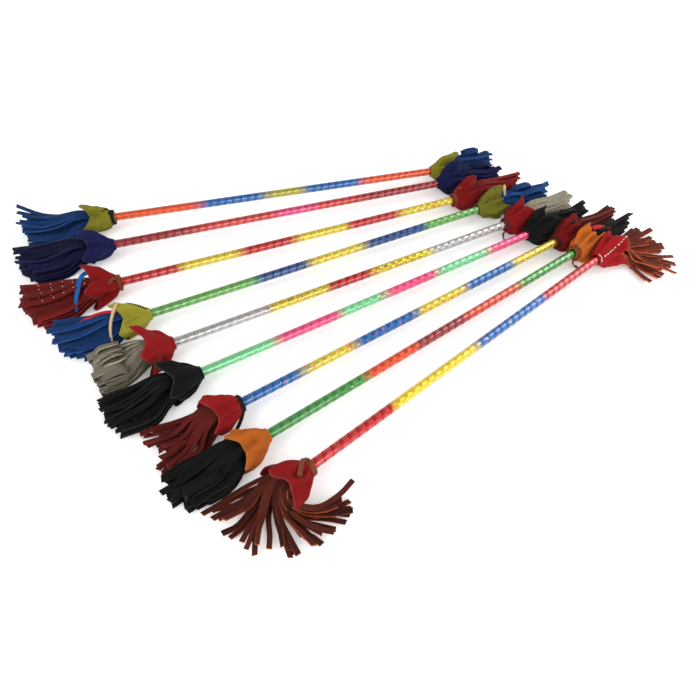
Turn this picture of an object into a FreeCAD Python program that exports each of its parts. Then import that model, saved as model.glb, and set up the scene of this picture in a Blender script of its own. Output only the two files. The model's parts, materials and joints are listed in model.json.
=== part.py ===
"""A set of nine juggling flower sticks, laid side by side in a fan on a flat surface.

Every stick is a straight rod in a clear sleeve. At each end a bundle of suede strips is tied round the
rod, and a square suede cap is tied over the same place and folded back, so that it flares round the root
of the fringe. The middle stick, number five, lies along X, and the others are turned a little from it.
A stick is modelled lying along X with its mid-length above the origin and the surface at Z = 0. The parts
of an end are modelled pointing towards +X, and the left end is the same turned half a turn about Z. The
sticks crowd together at their right ends, so each is placed by the mouth of its right-hand cap, and a longer
grip only spreads the left ends.
"""

import FreeCAD, Part
import os

STICK_COUNT = 9

# alias, millimetres or degrees, what it is
SIZES = [
    ("grip_length", 450, "sleeve that shows between the two caps"),
    ("axis_height", 17, "rod axis above the surface, held up by the tassels"),
    ("sleeve_diameter", 10.4, "outside of the clear sleeve"),
    ("sleeve_wall", 0.7, "thickness of the clear sleeve"),
    ("sleeve_tuck", 14, "sleeve hidden past the cap's mouth"),
    ("rod_tuck", 24, "rod hidden past the cap's mouth"),
    ("plug_gap", 0.5, "from the end of the sleeve to the plug"),
    ("plug_wall", 1.7, "rubber round the rod"),
    ("plug_floor", 3, "rubber over the end of the rod"),
    ("fit_clearance", 0.05, "radial clearance of the rod in its sleeve and plug"),
    ("cap_length", 36, "from a cap's mouth to its rim"),
    ("cap_wall", 1.4, "thickness of the suede of a cap"),
    ("cap_rim_radius", 24, "outside of a cap at its rim"),
    ("cap_mouth_clearance", 0.5, "from the sleeve to the cap's mouth, on the radius"),
    ("lining_clearance", 0.3, "between a cap and the fringe inside it"),
    ("collar_start", 7, "from the cap's mouth to the root of the fringe"),
    ("collar_length", 10, "straight root of the fringe, where it is tied"),
    ("collar_wall", 2.3, "suede round the sleeve at the root of the fringe"),
    ("bore_clearance", 0.1, "between the fringe and what it is tied round"),
    ("tie_start", 9, "from the cap's mouth to the first turn of the tie"),
    ("tie_thread_radius", 0.75, "half the thickness of the waxed tie"),
    ("tie_pitch", 1.35, "from one turn of the tie to the next"),
    ("fringe_length", 74, "strips past the rim of the cap"),
    ("fringe_rim_gap", 0.4, "from the rim of the cap to the loose strips"),
    ("fringe_rim_width", 24, "half the width of a free fringe at the rim"),
    ("fringe_tip_width", 29, "half the width of a free fringe at its tips"),
    ("fringe_rim_top", 38, "top of the fringe above the surface at the rim"),
    ("fringe_tip_top", 17, "top of the fringe above the surface at its tips"),
    ("fringe_rim_radius", 23.5, "radius of the bundle at the rim"),
    ("fringe_tip_radius", 46, "radius of the bundle at its tips"),
    ("fan_top", 12, "top of the strips that the near stick's fringes fan out on the surface"),
    ("fan_left_rim", 58, "reach of the near stick's left fan beside the cap's rim"),
    ("fan_left_tip", 30, "reach of the near stick's left fan at the tips"),
    ("fan_right_rim", 54, "reach of the near stick's right fan beside the cap's rim"),
    ("fan_right_tip", 50, "reach of the near stick's right fan at the tips"),
    ("neighbour_gap", 1, "left clear between the tassels of two neighbours"),
]

# stick, the mouth of its right-hand cap along X and across Y, and its heading from X
FAN = [
    (1, 207.8, 155, -13.5),
    (2, 199.6, 123.4, -10),
    (3, 194.8, 79, -6),
    (4, 213.9, 44.6, -1.5),
    (5, 225, 0, 0),
    (6, 237.7, -30.7, 3),
    (7, 259.1, -60, 6.5),
    (8, 265.2, -88.3, 9),
    (9, 282.2, -111.3, 12.5),
]

# One end of a stick: its name, the sign of its local X, and how far it is turned about Z.
ENDS = [("left", -1, 180), ("right", 1, 0)]

ALONG_X = FreeCAD.Rotation(FreeCAD.Vector(0, 1, 0), 90)
WEDGE_ALONG_X = FreeCAD.Rotation(FreeCAD.Vector(0, 0, 1), -90)

# Formulas that several pieces share.
SLEEVE_RADIUS = "Sizes.sleeve_diameter / 2"
ROD_RADIUS = f"({SLEEVE_RADIUS} - Sizes.sleeve_wall - Sizes.fit_clearance)"
MOUTH = "Sizes.grip_length / 2"
PLUG_START = f"{MOUTH} + Sizes.sleeve_tuck + Sizes.plug_gap"
PLUG_RADIUS = f"({ROD_RADIUS} + Sizes.fit_clearance + Sizes.plug_wall)"
PLUG_LENGTH = "(Sizes.rod_tuck - Sizes.sleeve_tuck - Sizes.plug_gap + Sizes.plug_floor)"
CAP_MOUTH_RADIUS = f"({SLEEVE_RADIUS} + Sizes.cap_mouth_clearance)"
COLLAR_RADIUS = f"({SLEEVE_RADIUS} + Sizes.bore_clearance + Sizes.collar_wall)"
RIM = f"{MOUTH} + Sizes.cap_length"
ROOT_OVERLAP = 2


def fill_sheet(doc):
    """Puts the driving dimensions in the spreadsheet, one to a row."""
    sheet = doc.addObject("Spreadsheet::Sheet", "Sizes")
    rows = list(SIZES)
    for number, along, across, heading in FAN:
        rows.append((f"along_{number}", along, f"right-hand mouth of stick {number} along X"))
        rows.append((f"across_{number}", across, f"right-hand mouth of stick {number} along Y"))
        rows.append((f"heading_{number}", heading, f"degrees from X to stick {number}"))
    rows.append(("centre_along", 0, "middle of the whole set along X"))
    rows.append(("centre_across", 0, "middle of the whole set along Y"))
    for row, (alias, value, note) in enumerate(rows, start=1):
        sheet.set(f"A{row}", alias)
        sheet.set(f"B{row}", str(value))
        sheet.set(f"C{row}", note)
        sheet.setAlias(f"B{row}", alias)
    doc.recompute()
    return sheet


def add(doc, kind, name, formulas, rotation=None):
    """Adds one object whose sizes are bound to the spreadsheet."""
    item = doc.addObject(kind, name)
    if rotation is not None:
        item.Placement = FreeCAD.Placement(FreeCAD.Vector(0, 0, 0), rotation)
    for prop, formula in formulas.items():
        item.setExpression(prop, formula)
    return item


def add_cylinder(doc, name, start, radius, length):
    """A cylinder on the rod's axis, from start towards +X."""
    formulas = {
        "Radius": radius,
        "Height": length,
        "Placement.Base.x": start,
        "Placement.Base.z": "Sizes.axis_height",
    }
    return add(doc, "Part::Cylinder", name, formulas, ALONG_X)


def add_cone(doc, name, start, first_radius, last_radius, length):
    """A cone on the rod's axis, from start towards +X."""
    formulas = {
        "Radius1": first_radius,
        "Radius2": last_radius,
        "Height": length,
        "Placement.Base.x": start,
        "Placement.Base.z": "Sizes.axis_height",
    }
    return add(doc, "Part::Cone", name, formulas, ALONG_X)


def join(doc, kind, name, base, tool):
    """A cut or a common of two objects."""
    item = doc.addObject(kind, name)
    item.Base = base
    item.Tool = tool
    return item


def fuse(doc, name, shapes):
    """One solid from several that overlap."""
    item = doc.addObject("Part::MultiFuse", name)
    item.Shapes = shapes
    return item


def room(stick, neighbour, sign, reach):
    """Formula of the space beside a stick, half-way to its neighbour, at reach from the mid-length."""
    heading = f"Sizes.heading_{stick}"
    other_heading = f"Sizes.heading_{neighbour}"
    past_mouth = f"({sign} * ({reach}) - {MOUTH})"
    along = f"(Sizes.along_{stick} + {past_mouth} * cos({heading}) - Sizes.along_{neighbour})"
    across = f"(Sizes.across_{stick} + {past_mouth} * sin({heading}) - Sizes.across_{neighbour})"
    distance = f"abs({across} * cos({other_heading}) - {along} * sin({other_heading}))"
    return f"{distance} / 2 - Sizes.neighbour_gap / 2"


def side_width(stick, neighbour, sign, reach, free, alone):
    """Formula of a tassel's half width on one side: free, unless a neighbour leaves less room."""
    if not 1 <= neighbour <= STICK_COUNT:
        return alone
    return f"min({free}; {room(stick, neighbour, sign, reach)})"


def side_neighbours(stick, sign):
    """The neighbours on an end's own +Y and -Y sides."""
    return stick - sign, stick + sign


def add_envelope(doc, name, stick, sign, first, last):
    """The space that one end of a stick may fill, between two upright planes across the rod.

    first and last each hold the plane's x, the free half width, the half width on a side with no
    neighbour, the bottom and the top, and how far to stay inside the room there.
    """
    left_side, right_side = side_neighbours(stick, sign)
    formulas = {"Ymin": first["x"], "Ymax": last["x"]}
    for key, plane in (("X", first), ("X2", last)):
        inset = plane.get("inset", "0")
        args = (sign, plane["x"], plane["free"], plane["alone"])
        formulas[f"{key}min"] = f"-({side_width(stick, left_side, *args)} - {inset})"
        formulas[f"{key}max"] = f"{side_width(stick, right_side, *args)} - {inset}"
    for key, plane in (("Z", first), ("Z2", last)):
        inset = plane.get("inset", "0")
        formulas[f"{key}min"] = f"{plane['bottom']} + {inset}"
        formulas[f"{key}max"] = f"{plane['top']} - ({inset})"
    return add(doc, "Part::Wedge", name, formulas, WEDGE_ALONG_X)


def turn_end(item, angle):
    """Turns the parts of an end, made pointing towards +X, to the end they belong to."""
    turn = FreeCAD.Rotation(FreeCAD.Vector(0, 0, 1), angle)
    item.Placement = FreeCAD.Placement(FreeCAD.Vector(0, 0, 0), turn)
    return item


def cap_plane(x, inset):
    """A plane of the space that a cap may fill."""
    return {
        "x": x,
        "free": "Sizes.cap_rim_radius",
        "alone": "Sizes.cap_rim_radius",
        "bottom": "0",
        "top": "Sizes.axis_height + Sizes.cap_rim_radius",
        "inset": inset,
    }


def make_cap(doc, tag, stick, sign):
    """A suede cap: a flared shell, open at both ends, flat where it lies on the surface."""
    outer = add_cone(doc, f"{tag}_cap_outside", MOUTH, f"{CAP_MOUTH_RADIUS} + Sizes.cap_wall",
                     "Sizes.cap_rim_radius", "Sizes.cap_length")
    inner = add_cone(doc, f"{tag}_cap_inside", MOUTH, CAP_MOUTH_RADIUS,
                     "Sizes.cap_rim_radius - Sizes.cap_wall", "Sizes.cap_length")
    outer_space = add_envelope(doc, f"{tag}_cap_space", stick, sign,
                               cap_plane(MOUTH, "0"), cap_plane(RIM, "0"))
    inner_space = add_envelope(doc, f"{tag}_cap_hollow", stick, sign,
                               cap_plane(MOUTH, "Sizes.cap_wall"), cap_plane(RIM, "Sizes.cap_wall"))
    skin = join(doc, "Part::Common", f"{tag}_cap_skin", outer, outer_space)
    hollow = join(doc, "Part::Common", f"{tag}_cap_core", inner, inner_space)
    return join(doc, "Part::Cut", f"{tag}_cap", skin, hollow)


def make_fan(doc, tag, stick, sign, start, tips):
    """The strips that one of the near stick's fringes spreads out on the surface, on its free side."""
    end = "left" if sign < 0 else "right"
    rim_plane = {"x": start, "free": "Sizes.fringe_rim_width", "alone": f"Sizes.fan_{end}_rim",
                 "bottom": "0", "top": "Sizes.fan_top"}
    tip_plane = {"x": tips, "free": "Sizes.fringe_tip_width", "alone": f"Sizes.fan_{end}_tip",
                 "bottom": "0", "top": "Sizes.fan_top"}
    return add_envelope(doc, f"{tag}_fringe_fan", stick, sign, rim_plane, tip_plane)


def make_fringe(doc, tag, stick, sign):
    """A fringe: the tied root, the flare inside the cap and the strips past its rim, as one solid."""
    collar_start = f"{MOUTH} + Sizes.collar_start"
    collar_end = f"{collar_start} + Sizes.collar_length"
    collar = add_cylinder(doc, f"{tag}_fringe_collar", collar_start, COLLAR_RADIUS, "Sizes.collar_length")
    lining = "(Sizes.cap_wall + Sizes.lining_clearance)"
    flare_length = "(Sizes.cap_length - Sizes.collar_start - Sizes.collar_length)"
    flare_end = f"(Sizes.cap_rim_radius - {lining})"
    slope = f"(({flare_end} - {COLLAR_RADIUS}) / {flare_length})"
    flare = add_cone(doc, f"{tag}_fringe_flare", collar_end, COLLAR_RADIUS,
                     f"{flare_end} + {ROOT_OVERLAP} * {slope}", f"{flare_length} + {ROOT_OVERLAP}")
    flare_space = add_envelope(doc, f"{tag}_fringe_flare_space", stick, sign,
                               cap_plane(MOUTH, lining), cap_plane(f"{RIM} + {ROOT_OVERLAP}", lining))
    root = join(doc, "Part::Common", f"{tag}_fringe_root", flare, flare_space)

    loose_start = f"{RIM} + Sizes.fringe_rim_gap"
    tips = f"{RIM} + Sizes.fringe_length"
    bundle = add_cone(doc, f"{tag}_fringe_bundle", loose_start, "Sizes.fringe_rim_radius",
                      "Sizes.fringe_tip_radius", "Sizes.fringe_length - Sizes.fringe_rim_gap")
    rim_plane = {"x": loose_start, "free": "Sizes.fringe_rim_width", "alone": "Sizes.fringe_rim_width",
                 "bottom": "0", "top": "Sizes.fringe_rim_top"}
    tip_plane = {"x": tips, "free": "Sizes.fringe_tip_width", "alone": "Sizes.fringe_tip_width",
                 "bottom": "0", "top": "Sizes.fringe_tip_top"}
    bundle_space = add_envelope(doc, f"{tag}_fringe_space", stick, sign, rim_plane, tip_plane)
    strips = join(doc, "Part::Common", f"{tag}_fringe_strips", bundle, bundle_space)

    bunches = [collar, root, strips]
    if stick == STICK_COUNT:
        bunches.append(make_fan(doc, tag, stick, sign, loose_start, tips))
    body = fuse(doc, f"{tag}_fringe_body", bunches)
    bore = add_cylinder(doc, f"{tag}_fringe_bore", MOUTH, f"{SLEEVE_RADIUS} + Sizes.bore_clearance",
                        "Sizes.sleeve_tuck + Sizes.bore_clearance")
    pocket = add_cylinder(doc, f"{tag}_fringe_pocket", f"{MOUTH} + Sizes.sleeve_tuck",
                          f"{PLUG_RADIUS} + Sizes.bore_clearance",
                          f"Sizes.plug_gap + {PLUG_LENGTH} + Sizes.bore_clearance")
    hole = fuse(doc, f"{tag}_fringe_hole", [bore, pocket])
    return join(doc, "Part::Cut", f"{tag}_fringe", body, hole)


def make_tie(doc, tag):
    """A waxed tie: three turns side by side round the root of the fringe."""
    turns = []
    for turn in range(3):
        formulas = {
            "Radius1": f"{COLLAR_RADIUS} + Sizes.fit_clearance + Sizes.tie_thread_radius",
            "Radius2": "Sizes.tie_thread_radius",
            "Placement.Base.x": f"{MOUTH} + Sizes.tie_start + {turn} * Sizes.tie_pitch",
            "Placement.Base.z": "Sizes.axis_height",
        }
        turns.append(add(doc, "Part::Torus", f"{tag}_tie_turn_{turn + 1}", formulas, ALONG_X))
    return fuse(doc, f"{tag}_tie", turns)


def make_plug(doc, tag):
    """A rubber plug: a cup over the end of the rod."""
    cup = add_cylinder(doc, f"{tag}_plug_outside", PLUG_START, PLUG_RADIUS, PLUG_LENGTH)
    socket = add_cylinder(doc, f"{tag}_plug_socket", MOUTH, f"{ROD_RADIUS} + Sizes.fit_clearance",
                          "Sizes.rod_tuck")
    return join(doc, "Part::Cut", f"{tag}_plug", cup, socket)


def make_rod(doc, tag):
    """The solid rod, which runs from plug to plug."""
    return add_cylinder(doc, f"{tag}_rod_bar", f"-({MOUTH} + Sizes.rod_tuck)", ROD_RADIUS,
                        "Sizes.grip_length + 2 * Sizes.rod_tuck")


def make_sleeve(doc, tag):
    """The clear sleeve over the rod."""
    start = f"-({MOUTH} + Sizes.sleeve_tuck)"
    length = "Sizes.grip_length + 2 * Sizes.sleeve_tuck"
    tube = add_cylinder(doc, f"{tag}_sleeve_outside", start, SLEEVE_RADIUS, length)
    bore = add_cylinder(doc, f"{tag}_sleeve_bore", start, f"{SLEEVE_RADIUS} - Sizes.sleeve_wall", length)
    return join(doc, "Part::Cut", f"{tag}_sleeve_tube", tube, bore)


def lay_down(doc, label, stick, solids):
    """One sub-part: its solids as a group, laid in the stick's place in the fan."""
    node = doc.addObject("Part::Compound", label)
    node.Label = label
    node.Links = solids
    heading = f"Sizes.heading_{stick}"
    flat = FreeCAD.Rotation(FreeCAD.Vector(0, 0, 1), 0)
    node.Placement = FreeCAD.Placement(FreeCAD.Vector(0, 0, 0), flat)
    along = f"Sizes.along_{stick} - {MOUTH} * cos({heading}) - Sizes.centre_along"
    across = f"Sizes.across_{stick} - {MOUTH} * sin({heading}) - Sizes.centre_across"
    node.setExpression("Placement.Base.x", along)
    node.setExpression("Placement.Base.y", across)
    node.setExpression("Placement.Rotation.Angle", heading)
    return node


def make_stick(doc, stick):
    """Every sub-part of one stick: the rod and its sleeve, and the pairs of pieces at the two ends."""
    tag = f"stick_{stick}"
    pairs = {"plugs": [], "fringes": [], "ties": [], "caps": []}
    for end, sign, angle in ENDS:
        here = f"{tag}_{end}"
        pairs["plugs"].append(turn_end(make_plug(doc, here), angle))
        pairs["fringes"].append(turn_end(make_fringe(doc, here, stick, sign), angle))
        pairs["ties"].append(turn_end(make_tie(doc, here), angle))
        pairs["caps"].append(turn_end(make_cap(doc, here, stick, sign), angle))
    nodes = [
        lay_down(doc, f"{tag}_rod", stick, [make_rod(doc, tag)]),
        lay_down(doc, f"{tag}_sleeve", stick, [make_sleeve(doc, tag)]),
    ]
    for name, solids in pairs.items():
        nodes.append(lay_down(doc, f"{tag}_{name}", stick, solids))
    return nodes


def centre_set(doc, sheet, nodes):
    """Moves the whole set so that the origin is under the middle of its box."""
    boxes = [node.Shape.optimalBoundingBox() for node in nodes]
    along = (min(box.XMin for box in boxes) + max(box.XMax for box in boxes)) / 2
    across = (min(box.YMin for box in boxes) + max(box.YMax for box in boxes)) / 2
    sheet.set("centre_along", str(round(along, 3)))
    sheet.set("centre_across", str(round(across, 3)))
    doc.recompute()


def check(doc, nodes):
    """Stops if an object failed or a sub-part isn't a valid group of the solids it should hold."""
    for item in doc.Objects:
        if "Invalid" in item.State or "Error" in item.State:
            raise RuntimeError(f"{item.Label} failed: {item.State}")
    for node in nodes:
        if node.Shape.isNull() or not node.Shape.isValid():
            raise RuntimeError(f"{node.Label} has no valid shape")
        if len(node.Shape.Solids) != len(node.Links):
            raise RuntimeError(f"{node.Label} holds {len(node.Shape.Solids)} solids")


def main():
    """Builds the set and writes each sub-part to its own file."""
    doc = FreeCAD.newDocument("FlowerSticks")
    sheet = fill_sheet(doc)
    nodes = []
    for stick in range(1, STICK_COUNT + 1):
        nodes.extend(make_stick(doc, stick))
    doc.recompute()
    centre_set(doc, sheet, nodes)
    check(doc, nodes)
    os.makedirs("parts", exist_ok=True)
    for node in nodes:
        node.Shape.exportStep(f"parts/{node.Label}.step")
    print(f"{len(nodes)} sub-parts, {sum(len(node.Shape.Solids) for node in nodes)} solids")


main()
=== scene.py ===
"""Nine juggling flower sticks laid in a fan: the looks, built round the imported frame.

Every stick keeps its rod, clear sleeve, ties and plugs from the frame, with finishes of their own. Its two
suede caps and its two suede fringes are made here, in the space that the frame's plain solids hold.

An end of a stick is worked out in millimetres in its own axes: x runs outwards along the rod from the cap's
mouth, y is the far side and z is up from the rod's axis.
"""

import json
import logging
import math
import random
from collections.abc import Iterable, Sequence
from dataclasses import dataclass, field
from enum import Enum

import bmesh
import bpy
from mathutils import Matrix, Vector, noise

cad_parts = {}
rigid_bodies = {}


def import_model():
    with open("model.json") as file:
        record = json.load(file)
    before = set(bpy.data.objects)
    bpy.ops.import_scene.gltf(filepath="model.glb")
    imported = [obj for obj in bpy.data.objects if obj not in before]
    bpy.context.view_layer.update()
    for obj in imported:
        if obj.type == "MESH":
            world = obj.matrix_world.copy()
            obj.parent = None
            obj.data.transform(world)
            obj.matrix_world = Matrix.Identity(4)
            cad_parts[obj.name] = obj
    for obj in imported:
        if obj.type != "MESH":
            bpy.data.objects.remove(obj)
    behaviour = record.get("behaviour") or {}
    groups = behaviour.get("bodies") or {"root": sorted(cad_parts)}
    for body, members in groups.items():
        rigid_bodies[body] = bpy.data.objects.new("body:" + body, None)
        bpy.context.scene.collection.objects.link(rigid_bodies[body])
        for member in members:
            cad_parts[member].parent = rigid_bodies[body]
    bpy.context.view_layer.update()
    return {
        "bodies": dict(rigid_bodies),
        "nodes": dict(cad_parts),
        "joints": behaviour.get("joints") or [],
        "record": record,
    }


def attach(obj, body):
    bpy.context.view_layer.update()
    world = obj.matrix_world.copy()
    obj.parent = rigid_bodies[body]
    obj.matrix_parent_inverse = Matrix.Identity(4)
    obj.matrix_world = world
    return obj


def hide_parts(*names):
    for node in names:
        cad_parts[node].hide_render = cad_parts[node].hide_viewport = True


LOG = logging.getLogger("flower_sticks")

MM = 0.001
STICKS = range(1, 10)
FULL_TURN = 2 * math.pi
NOISE_LOW, NOISE_HIGH = 0.3, 0.7
Colour = tuple[float, float, float]
Socket = bpy.types.NodeSocket
Object = bpy.types.Object
Material = bpy.types.Material


def srgb(red: int, green: int, blue: int) -> Colour:
    """Turns a dye's 8-bit sRGB values into the linear colour that a shader takes.

    Args:
        red: Red, 0 to 255.
        green: Green, 0 to 255.
        blue: Blue, 0 to 255.

    Returns:
        The linear colour.
    """
    def linear(value: int) -> float:
        """Gives one channel's linear value."""
        share = value / 255
        return share / 12.92 if share <= 0.04045 else ((share + 0.055) / 1.055) ** 2.4

    return linear(red), linear(green), linear(blue)


def smooth(value: float) -> float:
    """Eases a value from 0 to 1 with level ends."""
    held = min(1.0, max(0.0, value))
    return held * held * (3 - 2 * held)


def mix(first: float, second: float, share: float) -> float:
    """Blends two values by a share."""
    return first + (second - first) * share


def press(value: float, limit: float, give: float = 0.3) -> float:
    """Presses a value under a limit, softly over the last part of the way.

    Args:
        value: The value, at least 0.
        limit: What it never reaches.
        give: The share of the limit over which it slows down.

    Returns:
        The pressed value.
    """
    start = limit * (1 - give)
    if value <= start:
        return value
    span = limit - start
    return start + span * math.tanh((value - start) / span)


class Side(Enum):
    """An end of a stick, by the way that it points."""

    LEFT = -1
    RIGHT = 1


class Edge(Enum):
    """A side of an end: towards the viewer's edge of the set or away from it."""

    FAR = 1
    NEAR = -1

    @classmethod
    def of(cls, across: float) -> "Edge":
        """Gives the side that a distance across lies on."""
        return cls.FAR if across > 0 else cls.NEAR


# ---------------------------------------------------------------- where the sticks lie


@dataclass(frozen=True)
class StickLine:
    """The line that one stick lies on, read from its sleeve, in metres."""

    number: int
    middle: Vector
    heading: Vector

    @classmethod
    def read(cls, nodes: dict[str, Object], number: int) -> "StickLine":
        """Finds a stick's line from the two rings of its sleeve.

        Args:
            nodes: The frame's nodes.
            number: The stick's number.

        Returns:
            The stick's line.
        """
        points = [vertex.co.copy() for vertex in nodes[f"stick_{number}_sleeve"].data.vertices]
        centre_x = sum(point.x for point in points) / len(points)
        rings = []
        for keep in (lambda x: x < centre_x, lambda x: x >= centre_x):
            ring = {tuple(round(value, 6) for value in point) for point in points if keep(point.x)}
            total = Vector((0, 0, 0))
            for point in sorted(ring):
                total += Vector(point)
            rings.append(total / len(ring))
        return cls(number, (rings[0] + rings[1]) / 2, (rings[1] - rings[0]).normalized())

    def beside(self, point: Vector) -> float:
        """Gives a point's distance from this line, seen from above."""
        gap = point - self.middle
        return abs(gap.x * self.heading.y - gap.y * self.heading.x)


@dataclass(frozen=True)
class StickEnd:
    """One end of a stick: its axes and the room that its soft parts have, in millimetres."""

    line: StickLine
    side: Side
    mouth: float
    rim: float
    far_line: StickLine | None
    near_line: StickLine | None
    gap: float = 0.6

    @property
    def name(self) -> str:
        """Gives the end's name."""
        return f"stick_{self.line.number}_{self.side.name.lower()}"

    @property
    def cap_seed(self) -> int:
        """Gives the number that the cap's folds follow."""
        return 2 * self.line.number + (self.side is Side.RIGHT)

    @property
    def tassel_seed(self) -> int:
        """Gives the number that the tassel's random draws start from."""
        return 31 * self.line.number + self.side.value

    @property
    def floor(self) -> float:
        """Gives the surface's height, below the rod's axis."""
        return -self.line.middle.z / MM

    def place(self, x: float, y: float, z: float) -> Vector:
        """Turns a point of the end's own axes into a point of the frame.

        Args:
            x: Outwards from the cap's mouth.
            y: Towards the far side.
            z: Up from the rod's axis.

        Returns:
            The point in the frame, in metres.
        """
        out = self.line.heading * self.side.value
        across = Vector((-self.line.heading.y, self.line.heading.x, 0))
        point = self.line.middle + out * ((self.mouth + x) * MM) + across * (y * MM)
        return point + Vector((0, 0, z * MM))

    def room(self, x: float, edge: Edge, free: float) -> float:
        """Gives the space beside the rod.

        Args:
            x: Where along the end.
            edge: Which side.
            free: The space where there is no neighbour, or a far one.

        Returns:
            The space on that side of the axis.
        """
        neighbour = self.far_line if edge is Edge.FAR else self.near_line
        if neighbour is None:
            return free
        return min(free, neighbour.beside(self.place(x, 0, 0)) / MM / 2 - self.gap)


# ---------------------------------------------------------------- shader sketching


class Sketch:
    """Lays out the nodes of one tree and wires them up."""

    def __init__(self, tree: bpy.types.NodeTree) -> None:
        """Starts on an empty tree."""
        self.tree = tree

    def node(self, kind: str, inputs: dict | None = None, **settings: object) -> bpy.types.Node:
        """Adds a node.

        Args:
            kind: The node's type, without its ShaderNode prefix.
            inputs: Values or sockets for its inputs, by name or place.
            settings: The node's own settings.

        Returns:
            The node.
        """
        made = self.tree.nodes.new("ShaderNode" + kind)
        for key, value in settings.items():
            setattr(made, key, value)
        self.wire(made, inputs or {})
        return made

    def math(self, operation: str, *values: object) -> Socket:
        """Adds a Math node for an operation on numbers or sockets, and gives its output."""
        return self.node("Math", dict(enumerate(values)), operation=operation).outputs[0]

    def times(self, first: object, second: object) -> Socket:
        """Multiplies two values."""
        return self.math("MULTIPLY", first, second)

    def plus(self, first: object, second: object) -> Socket:
        """Adds two values."""
        return self.math("ADD", first, second)

    def place(self) -> Socket:
        """Gives the place on the object."""
        return self.node("TexCoord").outputs["Object"]

    def scaled(self, colour: object, shade: Socket) -> Socket:
        """Makes a colour lighter or darker by a factor."""
        return self.node("VectorMath", {0: colour, "Scale": shade}, operation="SCALE").outputs[0]

    def wire(self, node: bpy.types.Node, inputs: dict) -> None:
        """Fills a node's inputs.

        Args:
            node: The node.
            inputs: Sockets to link or plain values to set, by name or place.
        """
        for key, value in inputs.items():
            if isinstance(value, Socket):
                self.tree.links.new(value, node.inputs[key])
            else:
                node.inputs[key].default_value = value

    def ramp(self, value: Socket, low: float, high: float,
             start: float = 0.0, end: float = 1.0) -> Socket:
        """Maps a value smoothly from the range low to high to the range start to end."""
        inputs = dict(enumerate((value, low, high, start, end)))
        return self.node("MapRange", inputs, interpolation_type="SMOOTHSTEP").outputs[0]

    def spread(self, pattern: Socket, start: float, end: float) -> Socket:
        """Spreads the range that a noise mostly keeps to from start to end."""
        return self.ramp(pattern, NOISE_LOW, NOISE_HIGH, start, end)

    def blend(self, share: object, first: object, second: object, how: str = "MIX") -> Socket:
        """Mixes a share of the second colour into the first, in a given way."""
        inputs = {0: share, 6: first, 7: second}
        return self.node("Mix", inputs, data_type="RGBA", blend_type=how).outputs[2]

    def noise(self, vector: Socket, scale: float, detail: float = 2.0) -> Socket:
        """Reads a noise of a scale per metre at a place."""
        return self.node("TexNoise", {"Vector": vector, "Scale": scale, "Detail": detail}).outputs[0]


def opaque(colour: Colour) -> tuple[float, float, float, float]:
    """Adds a full alpha to a colour."""
    return (*colour, 1.0)


class Recipes:
    """The shader node groups that several finishes share."""

    def __init__(self) -> None:
        """Builds each group once."""
        self.nap = self._nap()
        self.fleck = self._fleck()

    @staticmethod
    def _group(name: str, inputs: dict[str, str], outputs: dict[str, str]) -> tuple:
        """Starts a group with named sockets.

        Args:
            name: The group's name.
            inputs: Socket types by name.
            outputs: Socket types by name.

        Returns:
            A sketch of its tree, its input node and its output node.
        """
        tree = bpy.data.node_groups.new(name, "ShaderNodeTree")
        for way, sockets in (("INPUT", inputs), ("OUTPUT", outputs)):
            for label, kind in sockets.items():
                tree.interface.new_socket(label, in_out=way, socket_type="NodeSocket" + kind)
        return Sketch(tree), tree.nodes.new("NodeGroupInput"), tree.nodes.new("NodeGroupOutput")

    def _nap(self) -> bpy.types.NodeTree:
        """Builds the brushed nap of suede: patches where the nap lies light or dark, and its fine fibre.

        Returns:
            The group.
        """
        sketch, given, result = self._group(
            "suede_nap",
            {"Vector": "Vector", "Colour": "Color", "Brushing": "Float", "Fibre": "Float"},
            {"Colour": "Color", "Roughness": "Float", "Height": "Float"})
        vector = given.outputs["Vector"]
        patches = sketch.noise(vector, 55, 3)
        brushed = sketch.noise(vector, 240, 4)
        fibre = sketch.noise(vector, 2600, 3)
        grain = sketch.noise(vector, 900, 5)
        broad = sketch.plus(sketch.times(patches, 0.6), sketch.times(brushed, 0.4))
        lift = sketch.times(sketch.math("SUBTRACT", broad, 0.5), given.outputs["Brushing"])
        fine = sketch.times(sketch.math("SUBTRACT", grain, 0.5), given.outputs["Fibre"])
        shade = sketch.plus(1.0, sketch.plus(lift, fine))
        sketch.wire(result, {"Colour": sketch.scaled(given.outputs["Colour"], shade),
                             "Roughness": sketch.spread(broad, 0.82, 0.98),
                             "Height": sketch.plus(sketch.times(fibre, 0.5), grain)})
        return sketch.tree

    def _fleck(self) -> bpy.types.NodeTree:
        """Builds scattered flecks: small round marks, of which a share shows.

        Returns:
            The group.
        """
        sketch, given, result = self._group(
            "film_flecks", {"Vector": "Vector", "Scale": "Float", "Size": "Float", "Share": "Float"},
            {"Mask": "Float"})
        cells = sketch.node("TexVoronoi", {name: given.outputs[name] for name in ("Vector", "Scale")})
        near = sketch.math("LESS_THAN", cells.outputs["Distance"], given.outputs["Size"])
        pick = sketch.node("SeparateColor", {0: cells.outputs["Color"]}).outputs[0]
        chosen = sketch.math("LESS_THAN", pick, given.outputs["Share"])
        sketch.wire(result, {"Mask": sketch.times(near, chosen)})
        return sketch.tree

    def scatter(self, sketch: Sketch, place: Socket, scale: float, size: float, share: float) -> Socket:
        """Gives the mask of a share of the flecks, for a scale per metre and a size as a share of a cell."""
        inputs = {"Vector": place, "Scale": scale, "Size": size, "Share": share}
        return sketch.node("Group", inputs, node_tree=self.fleck).outputs[0]


def new_material(name: str) -> tuple[Material, Sketch, bpy.types.Node]:
    """Starts a material.

    Args:
        name: Its name.

    Returns:
        The material, a sketch of its tree and its Principled shader.
    """
    material = bpy.data.materials.new(name)
    material.use_nodes = True
    shader = next(node for node in material.node_tree.nodes if node.type == "BSDF_PRINCIPLED")
    return material, Sketch(material.node_tree), shader


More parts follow.
